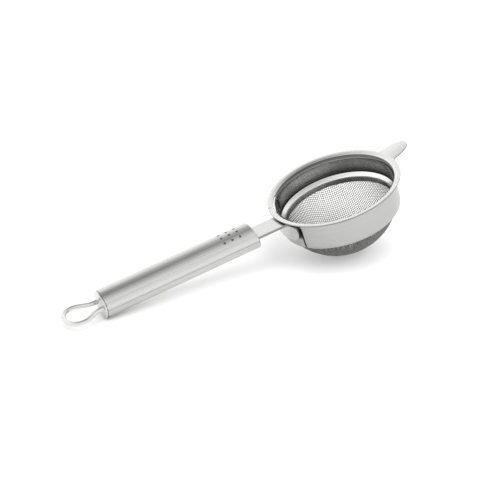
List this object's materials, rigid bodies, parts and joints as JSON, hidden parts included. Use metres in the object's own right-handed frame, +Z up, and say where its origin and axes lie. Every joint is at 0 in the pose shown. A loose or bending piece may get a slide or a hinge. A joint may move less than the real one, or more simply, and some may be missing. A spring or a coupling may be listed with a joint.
{
  "type": "tea strainer",
  "caption": "Stainless-steel tea strainer: a wire-mesh bowl in a flanged rim with a rest tab, on a flat neck strap and a round hollow handle with a hanging loop.",
  "frame": {"origin": "middle of the object's length and width, on the table that it lies on", "axes": "+X from the handle towards the rest tab, +Z up from the table, +Y across; the X-Z plane is the mirror plane"},
  "size_m": [0.2363, 0.084, 0.061],
  "materials": {
    "rim_steel": "satin-polished sheet",
    "wall_steel": "satin-polished sheet, brushed round the wall",
    "ring_steel": "polished sheet",
    "wire_cloth": "plain-woven drawn wire",
    "strap_steel": "satin bar",
    "brushed_tube": "brushed along its length",
    "polished_steel": "polished"
  },
  "bodies": {
    "root": {"rim_ring": "rim_steel", "wall_band": "wall_steel", "closing_plate": "wall_steel", "clamp_ring": "ring_steel", "mesh_bowl": "wire_cloth", "support_ring": "ring_steel", "neck_strap": "strap_steel", "handle_tube": "brushed_tube", "front_plug": "ring_steel", "end_cap": "polished_steel", "hanging_loop": "polished_steel"}
  },
  "joints": []
}
